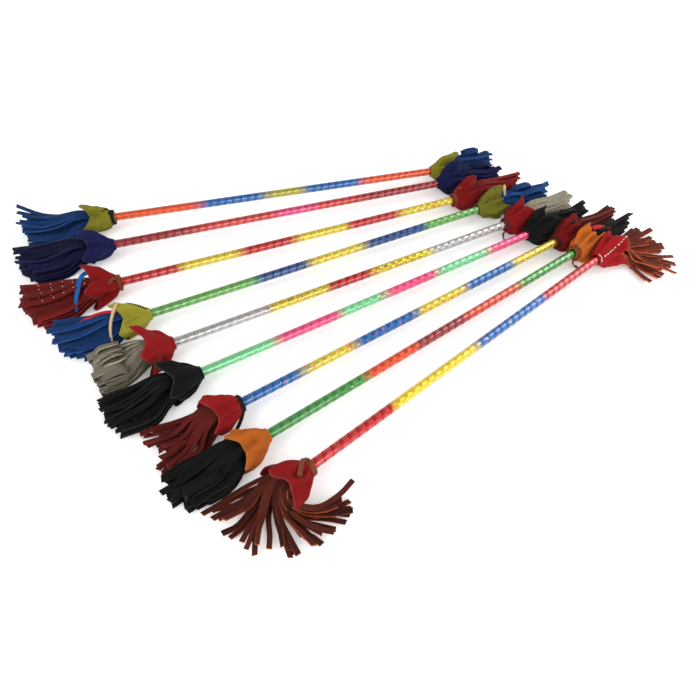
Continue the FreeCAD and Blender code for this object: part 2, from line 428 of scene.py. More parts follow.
# ---------------------------------------------------------------- finishes


@dataclass(frozen=True)
class Suede:
    """Dyed suede with a brushed nap and paler cut edges."""

    name: str
    dye: Colour
    cut: Colour
    brushing: float = 0.35
    fibre: float = 0.3
    sheen: float = 0.08
    sheen_rough: float = 0.45
    specular: float = 0.12
    wear_scale: float = 420
    nap_strength: float = 0.35
    nap_depth: float = 0.0006

    def material(self, recipes: Recipes) -> Material:
        """Builds the material. It reads cut_edge, 1 on a cut edge, and a brightness factor for each piece and
        strip: random tone of the suede, and per end partly its own dye and partly painted light and shade.

        Args:
            recipes: The shared groups.

        Returns:
            The material.
        """
        material, sketch, shader = new_material(self.name)
        place = sketch.place()
        cut_edge = sketch.node("Attribute", attribute_name="cut_edge").outputs["Fac"]
        tone = sketch.node("Attribute", attribute_name="tone").outputs["Fac"]
        wear = sketch.ramp(sketch.noise(place, self.wear_scale, 3), 0.3, 0.62, 0.35, 1.0)
        colour = sketch.blend(sketch.times(cut_edge, wear), opaque(self.dye), opaque(self.cut))
        # Painted light and shade, in part: the brightness factor lightens or darkens the dye for each end, on
        # top of each strip's random tone.
        shaded = sketch.scaled(colour, sketch.plus(1.0, tone))
        nap = sketch.node("Group", {"Vector": place, "Colour": shaded, "Brushing": self.brushing,
                                    "Fibre": self.fibre}, node_tree=recipes.nap)
        bump = sketch.node("Bump", {"Strength": self.nap_strength, "Distance": self.nap_depth,
                                    "Height": nap.outputs["Height"]})
        sketch.wire(shader, {
            "Base Color": nap.outputs["Colour"], "Roughness": nap.outputs["Roughness"],
            "Normal": bump.outputs[0], "Specular IOR Level": self.specular, "Sheen Weight": self.sheen,
            "Sheen Roughness": self.sheen_rough,
            "Sheen Tint": opaque(tuple(min(1.0, 0.35 + value) for value in self.dye))})
        return material


class Mark(Enum):
    """What is scattered over a decorated film besides its bands."""

    NONE = 0
    SPOTS = 1
    SQUIGGLES = 2


@dataclass(frozen=True)
class BandedFilm:
    """Decorated film wound round a rod in a slanting lap under a clear sleeve.

    Each band has the shares of the grip's length where it starts and ends, and its colour.
    """

    name: str
    bands: tuple[tuple[float, float, str], ...]
    metal: float = 0.6
    rough: float = 0.24
    mark: Mark = Mark.NONE
    mark_colour: Colour = (0.02, 0.02, 0.02)
    mark_zone: tuple[float, float] = (0.0, 1.0)
    flecks: float = 0.02
    fleck_scale: float = 460.0
    fleck_size: float = 0.3
    spot_scale: float = 210.0
    spot_size: float = 0.34
    spots: float = 0.13
    squiggle_scale: float = 150
    squiggle_width: float = 0.011
    lap: float = 10.5
    lap_dark: float = 0.5
    ridge: float = 1.6
    crinkle: float = 0.35
    relief: float = 0.0009
    gloss: tuple[float, float] = (0.15, 1.0)
    coat_ior: float = 1.75
    coat_rough: float = 0.06

    def _around(self, sketch: Sketch, line: StickLine) -> tuple[Socket, Socket, Socket]:
        """Measures the sleeve's surface.

        Args:
            sketch: The material's sketch.
            line: The stick's line.

        Returns:
            The place, the distance along in metres and the share of a turn around.
        """
        place = sketch.place()
        centred = sketch.node("VectorMath", {0: place, 1: line.middle}, operation="SUBTRACT").outputs[0]
        across = Vector((-line.heading.y, line.heading.x, 0))
        along, side, height = (
            sketch.node("VectorMath", {0: centred, 1: axis}, operation="DOT_PRODUCT").outputs["Value"]
            for axis in (line.heading, across, Vector((0, 0, 1))))
        turn = sketch.math("DIVIDE", sketch.math("ARCTAN2", height, side), FULL_TURN)
        return place, along, turn

    def material(self, recipes: Recipes, line: StickLine, grip: float) -> Material:
        """Builds the material.

        Args:
            recipes: The shared groups.
            line: The stick's line.
            grip: The length that shows between the caps, in metres.

        Returns:
            The material.
        """
        material, sketch, shader = new_material(self.name)
        place, along, turn = self._around(sketch, line)
        share = sketch.plus(sketch.math("DIVIDE", along, grip), 0.5)
        uneven = sketch.times(sketch.math("SUBTRACT", sketch.noise(place, 130, 2), 0.5), 0.035)
        ramp = sketch.node("ValToRGB", {0: sketch.plus(share, uneven)})
        stops = [(stop, FILM[colour]) for start, end, colour in self.bands for stop in (start, end)]
        elements = ramp.color_ramp.elements
        while len(elements) < len(stops):
            elements.new(0.5)
        for element, (position, colour) in zip(elements, stops):
            element.position, element.color = position, opaque(colour)

        wound = sketch.plus(sketch.math("DIVIDE", along, self.lap * MM), turn)
        lap = sketch.math("FRACT", wound)
        step = sketch.ramp(lap, 0.62, 0.95)
        edge = sketch.times(step, sketch.ramp(sketch.noise(place, 260, 2), 0.35, 0.6, 0.4, 1.0))
        body = sketch.blend(sketch.times(edge, self.lap_dark), ramp.outputs[0],
                            (0.02, 0.015, 0.02, 1.0), "MULTIPLY")

        if self.mark is not Mark.NONE:
            body = sketch.blend(self._marks(sketch, recipes, place, share), body, opaque(self.mark_colour))
        specks = recipes.scatter(sketch, place, self.fleck_scale, self.fleck_size, self.flecks)
        body = sketch.blend(sketch.times(specks, 0.75), body, (0.85, 0.85, 0.85, 1.0))

        ridge = sketch.math("PINGPONG", wound, 0.5)
        crinkle = sketch.noise(place, 700, 3)
        relief = sketch.plus(sketch.times(ridge, self.ridge), sketch.times(crinkle, self.crinkle))
        bump = sketch.node("Bump", {"Strength": 0.8, "Distance": self.relief, "Height": relief})
        sketch.wire(shader, {
            "Base Color": body, "Normal": bump.outputs[0], "Metallic": self.metal,
            "Coat IOR": self.coat_ior, "Coat Roughness": self.coat_rough,
            "Coat Weight": sketch.ramp(lap, 0.1, 0.5, *self.gloss),
            "Roughness": sketch.spread(crinkle, self.rough - 0.08, self.rough + 0.1)})
        return material

    def _marks(self, sketch: Sketch, recipes: Recipes, place: Socket, share: Socket) -> Socket:
        """Scatters spots or squiggles over part of the length.

        Args:
            sketch: The material's sketch.
            recipes: The shared groups.
            place: Where the pattern is read.
            share: The share of the grip's length.

        Returns:
            The mask of the marks.
        """
        if self.mark is Mark.SPOTS:
            shown = recipes.scatter(sketch, place, self.spot_scale, self.spot_size, self.spots)
        else:
            swing = sketch.math("SUBTRACT", sketch.noise(place, self.squiggle_scale, 2), 0.5)
            shown = sketch.math("LESS_THAN", sketch.math("ABSOLUTE", swing), self.squiggle_width)
        start, end = self.mark_zone
        inside = sketch.times(sketch.math("GREATER_THAN", share, start), sketch.math("LESS_THAN", share, end))
        return sketch.times(shown, inside)


@dataclass(frozen=True)
class PlainFinish:
    """A plain moulded, spun or pressed material: rod core, rubber, waxed thread."""

    name: str
    colour: Colour
    rough: float
    grain: float
    relief: float

    def material(self) -> Material:
        """Builds the material."""
        material, sketch, shader = new_material(self.name)
        grain = sketch.noise(sketch.place(), self.grain, 4)
        shade = sketch.spread(grain, 0.85, 1.12)
        bump = sketch.node("Bump", {"Strength": 0.4, "Distance": self.relief, "Height": grain})
        sketch.wire(shader, {
            "Base Color": sketch.scaled(self.colour, shade), "Normal": bump.outputs[0],
            "Roughness": sketch.spread(grain, self.rough - 0.06, self.rough + 0.06)})
        return material


# ---------------------------------------------------------------- caps


def add_object(name: str, data: bpy.types.ID) -> Object:
    """Adds an object at the origin of the scene."""
    made = bpy.data.objects.new(name, data)
    bpy.context.scene.collection.objects.link(made)
    return made


def to_object(shape: bmesh.types.BMesh, name: str) -> Object:
    """Turns a finished bmesh into an object at the origin.

    Args:
        shape: The bmesh, which is freed.
        name: The object's name.

    Returns:
        The object.
    """
    for face in shape.faces:
        face.smooth = True
    mesh = bpy.data.meshes.new(name)
    shape.to_mesh(mesh)
    shape.free()
    return add_object(name, mesh)


@dataclass(frozen=True)
class StitchRow:
    """A row of stitches on a cap.

    It runs from one place to another, each in degrees round the rod and as a share of the way to the edge.
    """

    start: tuple[float, float]
    end: tuple[float, float]
    count: int
    length: float = 3.6
    width: float = 1.1
    crosswise: bool = False
    thread: str = "white"


@dataclass(frozen=True)
class CapStyle:
    """How one square cap sits. Lengths are in millimetres and angles in degrees."""

    turn: float = 45
    steep: float = 20
    flare: float = 22
    lobe: float = 0.22
    pleat: float = 0.8
    fold: float = 1.5
    folds: int = 11
    crumple: float = 2.6
    lean: float = 0.0
    square: float = 78
    # Brightness factor for the whole cap: partly the suede's own dye, partly painted light and shade.
    tone: float = 0.0
    stitches: tuple[StitchRow, ...] = ()


@dataclass
class Cap:
    """A square of suede with round corners and a hole for the rod, tied at its middle and folded back.

    Lengths are in millimetres. A name that ends in _by is how far along the suede from the mouth something
    has fully come in. The cut_share is the share of the whole square that the corners and the hole leave.
    """

    end: StickEnd
    style: CapStyle
    wall: float = 1.4
    mouth_radius: float = 6.9
    hole_share: float = 0.6
    rim_radius: float = 24.0
    around: int = 72
    along: int = 16
    cut_share: float = 0.955
    corner_power: int = 7
    profile_steps: int = 16
    shoulder: float = 8.0
    shoulder_width: float = 5.5
    flare_by: float = 5.0
    pleat_by: float = 7.0
    open_by: float = 30.0
    pleats: int = 9
    wander: float = 2.2
    rim_wander: float = 1.8
    free_room: float = 3.0
    floor_gap: float = 1.6
    inside: float = 18.0
    worn_from: float = 0.93

    def reach(self, turn: float) -> float:
        """Gives the length of the suede from the tied middle to its edge, towards an angle."""
        bent = abs(math.cos(turn)) ** self.corner_power + abs(math.sin(turn)) ** self.corner_power
        return self.style.square / 2 / bent ** (1 / self.corner_power) - self.mouth_radius * self.hole_share

    def section(self, slant: float) -> tuple[float, float]:
        """Gives the bell's plain profile.

        Args:
            slant: How far from the mouth, along the suede.

        Returns:
            How far out along the rod, and the radius.
        """
        x, radius = 0.0, self.mouth_radius
        for step in range(self.profile_steps):
            done = (step + 0.5) / self.profile_steps * slant
            shoulder = self.style.steep * math.exp(-((done - self.shoulder) / self.shoulder_width) ** 2)
            angle = math.radians(self.style.flare * smooth(done / self.flare_by) + shoulder)
            x += math.cos(angle) * slant / self.profile_steps
            radius += math.sin(angle) * slant / self.profile_steps
        return x, radius

    def surface(self, around: float, share: float) -> Vector:
        """Gives a point of the cap's outside.

        Args:
            around: The angle round the rod, from the far side upwards.
            share: How far from the mouth to the edge, 0 to 1.

        Returns:
            The point in the frame.
        """
        style, end = self.style, self.end
        turned = around - math.radians(style.turn)
        slant = share * self.reach(turned)
        x, radius = self.section(slant)
        opened = smooth(slant / self.open_by)
        corner = 2 * ((1 - math.cos(4 * turned)) / 2) ** 1.5 - 1
        radius *= 1 + style.lobe * corner * opened
        spot = Vector((math.cos(around) * 1.3, math.sin(around) * 1.3, slant / 16 + end.cap_seed * 7.3))
        wander = self.wander * noise.noise(spot)
        radius += (style.pleat * smooth(slant / self.pleat_by) * math.sin(self.pleats * around + wander)
                   * (1 - opened))
        radius += style.fold * opened * math.sin(style.folds * around + wander + end.cap_seed)
        radius += style.crumple * opened * noise.noise(spot * 1.9)
        x += self.rim_wander * opened * noise.noise(spot * 1.4 + Vector((3, 8, 1)))
        y = style.lean * opened + radius * math.cos(around)
        room = end.room(x, Edge.of(y), self.rim_radius + self.free_room)
        squeeze = max(0.0, 1 - room / self.rim_radius)
        y = math.copysign(press(abs(y), room, 0.25), y)
        z = radius * math.sin(around) * (1 + 0.5 * squeeze)
        if z < 0:
            z = -press(-z, -end.floor - self.floor_gap, 0.2)
        else:
            z = press(z, self.rim_radius, 0.25)
        return end.place(x, y, z)

    def build(self) -> Object:
        """Makes the cap's mesh: a grid rolled into a bell, closed along its seam.

        Returns:
            The cap.
        """
        shape = bmesh.new()
        bmesh.ops.create_grid(shape, x_segments=self.around, y_segments=self.along, size=0.5)
        tone = shape.verts.layers.float.new("tone")
        cut_edge = shape.verts.layers.float.new("cut_edge")
        for vertex in shape.verts:
            around, share = (vertex.co.x + 0.5) * FULL_TURN, vertex.co.y + 0.5
            # Painted light and shade, in part: the cap's brightness factor goes on every vertex.
            vertex[tone] = self.style.tone
            vertex[cut_edge] = smooth((share - self.worn_from) / 0.07)
            vertex.co = self.surface(around, share)
        bmesh.ops.remove_doubles(shape, verts=shape.verts, dist=0.02 * MM)
        shape.normal_update()
        axis = self.end.place(self.inside, 0, 0)
        outward = sum(face.normal.dot(face.calc_center_median() - axis) for face in shape.faces)
        if outward < 0:
            bmesh.ops.reverse_faces(shape, faces=shape.faces)
        piece = to_object(shape, f"{self.end.name}_cap")
        thicken = piece.modifiers.new("suede", "SOLIDIFY")
        thicken.thickness, thicken.offset, thicken.use_even_offset = self.wall * MM, -1.0, False
        rounded = piece.modifiers.new("soft edges", "SUBSURF")
        rounded.levels = rounded.render_levels = 1
        return piece

    def sew(self, threads: dict[str, "StitchMesh"]) -> None:
        """Lays the cap's rows of stitches.

        Args:
            threads: The stitches of each thread.
        """
        step, middle_radius, middle_slant = 0.01, 18, 38
        axis = self.end.place(self.inside, 0, 0)
        for row in self.style.stitches:
            (first, first_out), (last, last_out) = row.start, row.end
            for index in range(row.count):
                share = index / max(1, row.count - 1)
                around, out = math.radians(mix(first, last, share)), mix(first_out, last_out, share)
                point = self.surface(around, out)
                over = self.surface(around + step * 4, out) - self.surface(around - step * 4, out)
                down = self.surface(around, out + step) - self.surface(around, out - step)
                normal = over.cross(down).normalized()
                if normal.dot(point - axis) < 0:
                    normal.negate()
                run = (over.normalized() * math.radians(last - first) * middle_radius
                       + down.normalized() * (last_out - first_out) * middle_slant)
                along = run.cross(normal) if row.crosswise else run
                threads[row.thread].add(point, along, normal, row.length, row.width)


@dataclass
class StitchMesh:
    """Stitches of one thread, each a small bead drawn out along its row."""

    shape: bmesh.types.BMesh = field(default_factory=bmesh.new)
    count: int = 0

    def add(self, point: Vector, along: Vector, normal: Vector, length: float, width: float) -> None:
        """Lays one stitch.

        Args:
            point: Where it is, in the frame.
            along: The way that it runs.
            normal: The way out of the suede.
            length: Its length in millimetres.
            width: Its width in millimetres.
        """
        run = (along - normal * along.dot(normal)).normalized()
        turn = Matrix((run, normal.cross(run), normal)).transposed().to_4x4()
        size = Matrix.Diagonal((length / 2 * MM, width / 2 * MM, width / 2 * MM, 1))
        place = Matrix.Translation(point + normal * (width * 0.15 * MM)) @ turn @ size
        bmesh.ops.create_icosphere(self.shape, subdivisions=1, radius=1.0, matrix=place)
        self.count += 1

    def finish(self, name: str) -> Object:
        """Makes the object."""
        bmesh.ops.recalc_face_normals(self.shape, faces=self.shape.faces)
        return to_object(self.shape, name)


# ---------------------------------------------------------------- strips


def curve_through(points: Sequence[Vector], count: int) -> list[Vector]:
    """Runs a smooth curve through points and reads it at even steps.

    Args:
        points: The points.
        count: How many steps.

    Returns:
        The curve's points, one more than the steps.
    """
    padded = [points[0] * 2 - points[1], *points, points[-1] * 2 - points[-2]]
    dense, fine = [], 8
    for index in range(1, len(padded) - 2):
        before, start, end, after = padded[index - 1:index + 3]
        for step in range(fine):
            t = step / fine
            square, cube = 2 * before - 5 * start + 4 * end - after, 3 * start - before - 3 * end + after
            dense.append(0.5 * (2 * start + (end - before) * t + square * t ** 2 + cube * t ** 3))
    dense.append(points[-1].copy())
    lengths = [0.0]
    for first, second in zip(dense, dense[1:]):
        lengths.append(lengths[-1] + (second - first).length)
    result, place = [], 0
    for step in range(count + 1):
        target = lengths[-1] * step / count
        while place < len(dense) - 2 and lengths[place + 1] < target:
            place += 1
        gap = lengths[place + 1] - lengths[place]
        share = 0 if gap == 0 else (target - lengths[place]) / gap
        result.append(dense[place].lerp(dense[place + 1], min(1.0, share)))
    return result


@dataclass
class Strip:
    """One cut strip of suede, along a path in an end's own axes, in millimetres."""

    path: list[Vector]
    across: list[Vector]
    width: float
    thickness: float
    # Brightness factor: random tone, and per end partly painted light and shade.
    tone: float = 0.0
    slant: float = 0.0
    dye: int = 0

    def frame(self, index: int) -> tuple[Vector, Vector, Vector]:
        """Gives the strip's axes at a station.

        Args:
            index: The station.

        Returns:
            The point, the way across and the way through.
        """
        before, after = self.path[max(0, index - 1)], self.path[min(len(self.path) - 1, index + 1)]
        tangent = (after - before).normalized()
        across = self.across[index]
        across = (across - tangent * across.dot(tangent)).normalized()
        through = tangent.cross(across)
        return self.path[index], across, through if through.z >= 0 else -through


@dataclass
class StripMesh:
    """Adds strips to one mesh. Each starts as a bar that is cut across and then bent to its path."""

    end: StickEnd
    floor_gap: float = 0.05
    side_gap: float = 0.3
    shape: bmesh.types.BMesh = field(default_factory=bmesh.new)
    bars: dict[int, bpy.types.Mesh] = field(default_factory=dict)

    def __post_init__(self) -> None:
        """Adds the values that the suede reads."""
        self.tone = self.shape.verts.layers.float.new("tone")
        self.cut_edge = self.shape.loops.layers.float.new("cut_edge")

    def bar(self, stations: int) -> bpy.types.Mesh:
        """Gives the bar that strips of so many stations start from, a unit long."""
        if stations not in self.bars:
            bar = bmesh.new()
            bmesh.ops.create_cube(bar, size=1.0)
            bmesh.ops.translate(bar, verts=bar.verts, vec=(0.5, 0, 0))
            long_edges = [edge for edge in bar.edges if abs(edge.verts[0].co.x - edge.verts[1].co.x) > 0.5]
            bmesh.ops.subdivide_edges(bar, edges=long_edges, cuts=stations - 1, use_grid_fill=True)
            self.bars[stations] = bpy.data.meshes.new("strip_bar")
            bar.to_mesh(self.bars[stations])
            bar.free()
        return self.bars[stations]

    def add(self, strip: Strip) -> None:
        """Bends a new bar to a strip's path.

        Args:
            strip: The strip.
        """
        first_vertex, first_face = len(self.shape.verts), len(self.shape.faces)
        stations = len(strip.path) - 1
        self.shape.from_mesh(self.bar(stations))
        self.shape.verts.ensure_lookup_table()
        self.shape.faces.ensure_lookup_table()
        faces = self.shape.faces[first_face:]
        for face in faces:
            flat = len({round(vertex.co.z, 3) for vertex in face.verts}) == 1
            face.material_index = strip.dye
            for loop in face.loops:
                loop[self.cut_edge] = 0.0 if flat else 1.0
            for edge in face.edges:
                first, second = (vertex.co for vertex in edge.verts)
                if abs(first.y - second.y) + abs(first.z - second.z) < 0.01:
                    edge.smooth = False
        frames = [strip.frame(index) for index in range(stations + 1)]
        for vertex in self.shape.verts[first_vertex:]:
            index = round(vertex.co.x * stations)
            point, across, through = frames[index]
            offset = across * (vertex.co.y * strip.width) + through * (vertex.co.z * strip.thickness)
            if index == stations:
                offset += (frames[-1][0] - frames[-2][0]).normalized() * (vertex.co.y * strip.slant)
            moved = point + offset
            moved.z = max(moved.z, self.end.floor + self.floor_gap + self.side_gap * (vertex.co.z + 0.5))
            # Painted light and shade, in part, together with random tone: the strip's brightness factor.
            vertex[self.tone] = strip.tone
            vertex.co = self.end.place(*moved)

    def sew(self, strip: Strip, thread: StitchMesh) -> None:
        """Lays a row of stitches along the top of a strip.

        Args:
            strip: The strip.
            thread: The stitches of the thread.
        """
        first, pitch, length, width = 5, 2, 1.7, 0.9
        for index in range(first, len(strip.path) - 2, pitch):
            point, across, through = strip.frame(index)
            ahead = strip.frame(index + 1)[0]
            skin = through * strip.thickness * 0.5
            start, end = (self.end.place(*(place + skin)) for place in (point, ahead))
            side = self.end.place(*(point + through * (strip.thickness * 0.5 + 1)))
            thread.add(start, end - start, (side - start).normalized(), length, width)

    def finish(self, name: str) -> Object:
        """Closes the work and makes the object."""
        bmesh.ops.recalc_face_normals(self.shape, faces=self.shape.faces)
        return to_object(self.shape, name)


@dataclass(frozen=True)
class Lace:
    """A flat suede lace: turns round the cap's neck, then a loose end through points of the end's axes."""

    points: tuple[tuple[float, float, float], ...]
    turns: float = 0.0
    start: float = 90
    width: float = 3.2
    neck: float = 8.7
    neck_x: float = 2.4
    neck_run: float = 1.4
    climb: float = 0.3
    thickness: float = 1.2
    dye: str = "lace_dark"

    def strip(self, dye: int) -> Strip:
        """Lays the lace.

        Args:
            dye: Its material's place on the piece.

        Returns:
            The lace as a strip.
        """
        points, ways = [], []
        per_turn = 12
        steps = round(abs(self.turns) * per_turn)
        for step in range(steps + 1 if steps else 0):
            angle = math.radians(self.start) + self.turns * FULL_TURN * step / steps
            radius = self.neck + self.climb * step / per_turn
            x = self.neck_x + self.neck_run * step / steps
            points.append(Vector((x, radius * math.cos(angle), radius * math.sin(angle))))
            ways.append(Vector((1, 0, 0)))
        for point in self.points:
            points.append(Vector(point))
            ways.append(Vector((0.3, 1, 0.2)))
        stations = 16 + 2 * steps
        across = []
        for station in range(stations + 1):
            spot = station / stations * (len(ways) - 1)
            low = min(int(spot), len(ways) - 2)
            across.append(ways[low].lerp(ways[low + 1], spot - low))
        return Strip(curve_through(points, stations), across, self.width, self.thickness, dye=dye)


@dataclass(frozen=True)
class TasselStyle:
    """How one fringe lies. Lengths are in millimetres and angles in degrees.

    The reach is how far the strips come out of the cap: on the far side, in the middle and on the near side.
    """

    reach: tuple[float, float, float]
    count: int = 28
    width: float = 6.8
    thickness: float = 1.7
    spread: float = 0.97
    pile: float = 18
    lift: float = 6
    far_curl: float = 0
    wave: float = 2.2
    twist: float = 30
    rim_spread: float = 15.5
    loops: float = 0.0
    fan: tuple[float, float] | None = None
    # Brightness factor for the whole fringe: partly the suede's own dye, partly painted light and shade.
    # tone_spread is random tone among the strips.
    tone: float = 0.0
    tone_spread: float = 0.3
    stitched: tuple[str, int] = ("white", 0)


@dataclass(frozen=True)
class Lane:
    """A strip's place in its bundle: how far to the far side and up, each -1 to 1, and its layer."""

    side: float
    height: float
    layer: int

    @property
    def up(self) -> float:
        """Gives how far above the bundle's middle it is."""
        return max(0.0, self.height)


@dataclass
class Tassel:
    """A fringe: strips that leave the collar round the rod, pass the cap's rim and fall into a pile.

    Lengths are in millimetres. Shares along a strip's free part run from the cap's rim to the tip.
    """

    end: StickEnd
    style: TasselStyle
    collar_x: float = 9
    collar_radius: float = 7.0
    free_rim: float = 26
    free_tip: float = 40
    free_length: float = 74
    fan_lanes: int = 12
    stations: int = 16
    curl_from: float = 0.5

    def __post_init__(self) -> None:
        """Starts the tassel's own random numbers, and its layers' pitch until the lanes are known."""
        self.dice = random.Random(self.end.tassel_seed)
        self.pitch = self.style.thickness

    def lanes(self) -> list[Lane]:
        """Shares the strips out over the pile at the tips.

        Returns:
            A lane for each strip.
        """
        style = self.style
        tip = self.end.rim - self.end.mouth + style.reach[1] * 0.8
        width = style.spread * sum(self.end.room(tip, edge, self.free_tip) for edge in Edge)
        per_layer = self.fan_lanes if style.fan else max(3, int(width / (style.width * 1.02)))
        layers = math.ceil(style.count / per_layer)
        self.pitch = style.pile / max(4, layers - 1)
        lanes = []
        for index in range(style.count):
            layer, lane = divmod(index, per_layer)
            in_layer = min(per_layer, style.count - layer * per_layer)
            side = (2 * (lane + 0.5) / in_layer - 1) * (in_layer / per_layer) ** 0.5
            lanes.append(Lane(side, 2 * (layer + 0.5) / layers - 1, layer))
        return lanes

    def lane_at(self, x: float, side: float) -> float:
        """Gives the far-side distance of a lane at x."""
        style = self.style
        free = mix(self.free_rim, self.free_tip, (x - self.end.rim + self.end.mouth) / self.free_length)
        far, near = (self.end.room(x, edge, free) - style.width * 0.45 for edge in Edge)
        return mix(-near, far, (side * style.spread + 1) / 2)

    def bed(self, lane: Lane, thicknesses: float = 0.55) -> float:
        """Gives the height at which a lane's layer of the pile lies."""
        return self.end.floor + self.style.thickness * thicknesses + lane.layer * self.pitch

    def reach(self, lane: Lane) -> float:
        """Gives how far past the rim the strips of a lane reach."""
        far, middle, near = self.style.reach
        return mix(middle, far if lane.side > 0 else near, abs(lane.side) ** 1.5)

    def curled(self, curl: float, share: float) -> float:
        """Gives how far a strip has curled up at a share of its free part."""
        return curl * max(0.0, share - self.curl_from) ** 1.5 / 0.35

    def held(self, point: Vector) -> Vector:
        """Keeps a point of a strip in the tassel's room and off the floor."""
        style = self.style
        room = self.end.room(point.x, Edge.of(point.y), 90) - style.width * 0.35
        y = math.copysign(min(abs(point.y), room), point.y)
        return Vector((point.x, y, max(point.z, self.end.floor + style.thickness * 0.5)))

    def fall(self, start: Vector, lane: Lane) -> list[Vector]:
        """Lays the free part of a strip in its lane.

        Args:
            start: Where it passes the rim.
            lane: Its lane.

        Returns:
            The points past the rim.
        """
        style, jitter = self.style, self.dice.uniform
        reach = self.reach(lane) * (1 + jitter(-0.07, 0.05))
        bed = self.bed(lane) + jitter(0, 0.6)
        curl = style.lift * (0.4 + lane.up) * jitter(0.1, 1.0) + style.far_curl * max(0.0, lane.side)
        points = []
        for share in (0.18, 0.42, 0.7, 1.0):
            x = start.x + reach * share
            y = (mix(start.y, self.lane_at(x, lane.side), smooth(share * 2.9))
                 + jitter(-style.wave, style.wave) * share)
            z = mix(start.z + 2.0 * lane.up, bed, smooth(share * mix(2.2, 1.2, lane.up)))
            z += self.curled(curl, share) + jitter(0, style.wave * 0.6) * (0.3 + lane.up)
            points.append(self.held(Vector((x, y, z))))
        return points

    def folded(self, start: Vector, lane: Lane) -> list[Vector]:
        """Lays the free part of a strip that doubles back over itself in a round loop.

        Args:
            start: Where it passes the rim.
            lane: Its lane.

        Returns:
            The points past the rim.
        """
        jitter = self.dice.uniform
        far_x = start.x + self.style.reach[1] * jitter(0.62, 0.86)
        bed = self.bed(lane, 0.6)
        bulge = jitter(6, 9)
        steps = ((0.4, 1.2), (0.86, 0.1), (1.0, bulge * 0.5), (0.88, bulge), (0.62, bulge + 1),
                 (0.42, bulge - 1))
        points = []
        for share, up in steps:
            x = mix(start.x, far_x, share)
            y = mix(start.y, self.lane_at(x, lane.side), smooth(share * 2.6)) + jitter(-1.4, 1.4)
            z = max(mix(start.z, bed, smooth(share * 2)), bed) + up
            points.append(self.held(Vector((x, y, z))))
        return points

    def fanned(self, start: Vector, lane: Lane) -> list[Vector]:
        """Lays the free part of a strip that splays out on the surface round the cap.

        Args:
            start: Where it passes the rim.
            lane: Its lane.

        Returns:
            The points past the rim.
        """
        def ahead(turn: float) -> Vector:
            """Gives the level direction of an angle."""
            return Vector((math.cos(turn), math.sin(turn), 0))

        style, jitter = self.style, self.dice.uniform
        angle = math.radians(mix(*style.fan, (lane.side + 1) / 2) + jitter(-9, 9))
        reach = self.reach(lane) * (1 + jitter(-0.22, 0.14))
        bed = self.bed(lane) + jitter(0, 0.8)
        tip = start + ahead(angle) * reach
        leave = start + ahead(angle * 0.35) * reach * 0.36
        arrive = tip - ahead(angle * 1.1) * reach * 0.3
        curl = max(0.0, style.lift * jitter(-0.3, 1.0))
        points = []
        for share in (0.25, 0.5, 0.75, 1.0):
            rest = 1 - share
            flat = (start * rest ** 3 + leave * 3 * rest ** 2 * share + arrive * 3 * rest * share ** 2
                    + tip * share ** 3)
            z = mix(start.z + 2 * lane.up, bed, smooth(share * mix(2.4, 1.5, lane.up)))
            z += self.curled(curl, share) + jitter(0, style.wave * 0.5)
            points.append(self.held(Vector((flat.x, flat.y + jitter(-style.wave, style.wave) * share, z))))
        return points

    def under_cap(self, lane: Lane, around: float) -> list[Vector]:
        """Lays the part of a strip that the cap hides.

        Args:
            lane: The strip's lane.
            around: The angle round the rod at which it leaves the collar.

        Returns:
            The points from the collar to the rim.
        """
        style, end = self.style, self.end
        rim_x = end.rim - end.mouth
        disc_y = lane.side * math.sqrt(1 - lane.height * lane.height / 2)
        disc_z = lane.height * math.sqrt(1 - lane.side * lane.side / 2)
        rim_room = end.room(rim_x, Edge.of(lane.side), self.free_rim) - 3.2
        rim_y = math.copysign(min(abs(disc_y) * style.rim_spread, rim_room), disc_y)
        start = Vector((rim_x, rim_y, max(disc_z * style.rim_spread, end.floor + 2.4)))
        root = Vector((0, math.cos(around), math.sin(around)))
        middle = (root * 8.6).lerp(start, 0.5)
        middle.x = 27
        return [root * self.collar_radius + Vector((self.collar_x, 0, 0)), root * 8.2 + Vector((18, 0, 0)),
                middle, start]

    def strip(self, lane: Lane) -> Strip:
        """Lays one strip.

        Args:
            lane: Its lane.

        Returns:
            The strip.
        """
        style, jitter = self.style, self.dice.uniform
        around = math.atan2(lane.height * math.sqrt(1 - lane.side * lane.side / 2),
                            lane.side * math.sqrt(1 - lane.height * lane.height / 2))
        points = self.under_cap(lane, around)
        if style.fan:
            points += self.fanned(points[-1], lane)
        elif jitter(0, 1) < style.loops:
            points += self.folded(points[-1], lane)
        else:
            points += self.fall(points[-1], lane)
        path = curve_through(points, self.stations)
        first_roll = (math.degrees(around) + 180) % 180 - 90
        last_roll = jitter(-style.twist, style.twist) * (0.3 + lane.up)
        across = []
        for index in range(self.stations + 1):
            share = smooth(index / self.stations * 1.5)
            heading = path[min(self.stations, index + 1)] - path[max(0, index - 1)]
            level = Vector((-heading.y, heading.x, 0))
            level = level.normalized() if level.length > 1e-6 else Vector((0, 1, 0))
            level = Vector((0, 1, 0)).lerp(level if level.y >= -0.2 else -level, share if style.fan else 0)
            roll = math.radians(mix(first_roll, last_roll, share))
            across.append(level.normalized() * math.cos(roll) + Vector((0, 0, math.sin(roll))))
        return Strip(path, across, style.width * jitter(0.85, 1.08), style.thickness,
                     style.tone + jitter(-style.tone_spread, style.tone_spread), jitter(-2.4, 2.4))

